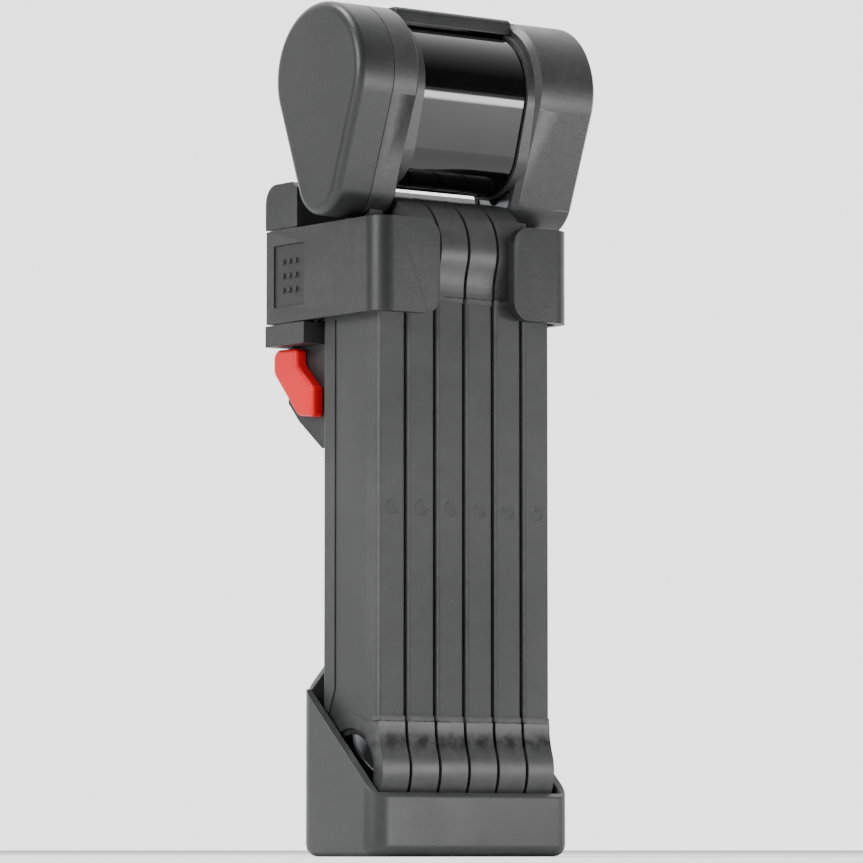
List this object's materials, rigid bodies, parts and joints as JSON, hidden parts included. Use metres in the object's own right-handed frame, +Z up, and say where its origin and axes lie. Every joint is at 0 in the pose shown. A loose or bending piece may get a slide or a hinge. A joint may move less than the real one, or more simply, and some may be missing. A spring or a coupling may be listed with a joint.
{
  "type": "folding bike lock",
  "caption": "Folding bike lock of hinged sleeved steel links with a barrel-shaped key head, standing in a frame holder with a cup, two sprung jaws and a red release lever.",
  "frame": {"origin": "centre of the holder cup's flat base", "axes": "+Z up along the folded links, +X across the stack of links along the rivets, -Y the front, +Y towards the bicycle frame"},
  "size_m": [0.0838, 0.0545, 0.2293],
  "materials": {
    "shell_plastic": "fine grained moulding",
    "sleeve_plastic": "fine grained moulding",
    "holder_plastic": "satin moulding",
    "gloss_black": "polished gloss",
    "link_coat": "satin black coat",
    "plain_steel": "brushed",
    "dark_chrome": "polished dark chrome",
    "soft_rubber": "matt",
    "red_plastic": "satin",
    "brass": "turned"
  },
  "bodies": {
    "holder": {"cup": "holder_plastic", "cup_liner": "soft_rubber", "spine": "holder_plastic", "cup_screws": "plain_steel", "bracket": "holder_plastic", "bracket_screws": "plain_steel", "jaw_pins": "plain_steel", "jaw_springs": "plain_steel", "lever_pin": "plain_steel", "lever_spring": "plain_steel"},
    "left_jaw": {"jaw_left": "holder_plastic", "grip_left": "soft_rubber"},
    "right_jaw": {"jaw_right": "holder_plastic", "grip_right": "soft_rubber"},
    "lever": {"release_lever": "red_plastic"},
    "links_1_2": {"bar_1": "link_coat", "bar_2": "link_coat", "sleeve_1": "sleeve_plastic", "sleeve_2": "sleeve_plastic", "rivet_bottom_12": "dark_chrome", "rivet_top_23": "plain_steel", "washer_12": "plain_steel", "washer_23": "plain_steel"},
    "links_3_4": {"bar_3": "link_coat", "bar_4": "link_coat", "sleeve_3": "sleeve_plastic", "sleeve_4": "sleeve_plastic", "rivet_bottom_34": "plain_steel", "rivet_top_45": "plain_steel", "washer_34": "plain_steel", "washer_45": "plain_steel"},
    "links_5_6": {"bar_5": "link_coat", "bar_6": "link_coat", "sleeve_5": "sleeve_plastic", "sleeve_6": "sleeve_plastic", "rivet_bottom_56": "dark_chrome", "washer_56": "plain_steel"},
    "head": {"left_end_cap": "shell_plastic", "right_end_cap": "shell_plastic", "left_housing": "shell_plastic", "right_housing": "shell_plastic", "barrel": "gloss_black", "top_rib": "shell_plastic", "head_core": "plain_steel", "head_pin": "plain_steel", "key_sleeve": "brass", "dust_cover_pin": "plain_steel", "bolt_spring": "plain_steel"},
    "key": {"key_plug": "brass"},
    "cover": {"dust_cover": "shell_plastic"},
    "bolt": {"lock_bolt": "plain_steel"}
  },
  "joints": [
    {"name": "lock_lift", "type": "slide", "parent": "holder", "child": "links_1_2", "axis": [0, 0, 1], "range_m": [0, 0.2]},
    {"name": "links_3_4_swing", "type": "hinge", "parent": "links_1_2", "child": "links_3_4", "pos_m": [0, 0, 0.1635], "axis": [-1, 0, 0], "range_deg": [0, 85]},
    {"name": "links_5_6_swing", "type": "hinge", "parent": "links_3_4", "child": "links_5_6", "pos_m": [0, 0, 0.1635], "axis": [-1, 0, 0], "range_deg": [-85, 0]},
    {"name": "head_tilt", "type": "hinge", "parent": "links_1_2", "child": "head", "pos_m": [0, 0, 0.1811], "axis": [-1, 0, 0], "range_deg": [0, 35]},
    {"name": "left_jaw_open", "type": "hinge", "parent": "holder", "child": "left_jaw", "pos_m": [-0.025, 0.0215, 0.16], "axis": [0, 0, -1], "range_deg": [0, 25], "stiffness_Nm_per_rad": 0.5, "springref_deg": -11.46},
    {"name": "right_jaw_open", "type": "hinge", "parent": "holder", "child": "right_jaw", "pos_m": [0.025, 0.0215, 0.16], "axis": [0, 0, 1], "range_deg": [0, 25], "stiffness_Nm_per_rad": 0.5, "springref_deg": -11.46},
    {"name": "release_lever_pull", "type": "hinge", "parent": "holder", "child": "lever", "pos_m": [-0.028, 0.0322, 0.1357], "axis": [1, 0, 0], "range_deg": [0, 18], "stiffness_Nm_per_rad": 0.1, "springref_deg": -5.73},
    {"name": "key_turn", "type": "hinge", "parent": "head", "child": "key", "pos_m": [0.0405, 0, 0.2086], "axis": [1, 0, 0], "range_deg": [0, 90]},
    {"name": "bolt_slide", "type": "slide", "parent": "head", "child": "bolt", "axis": [1, 0, 0], "range_m": [0, 0.0052], "deforming": ["bolt_spring"]},
    {"name": "dust_cover_swing", "type": "hinge", "parent": "head", "child": "cover", "pos_m": [0.041, 0.0117, 0.2086], "axis": [1, 0, 0], "range_deg": [0, 120]}
  ],
  "couplings": [
    {"joint": "links_3_4_swing", "follows": "lock_lift", "rad_per_m": 7.41},
    {"joint": "links_5_6_swing", "follows": "lock_lift", "rad_per_m": -7.41},
    {"joint": "bolt_slide", "follows": "key_turn", "m_per_rad": 0.0033}
  ]
}
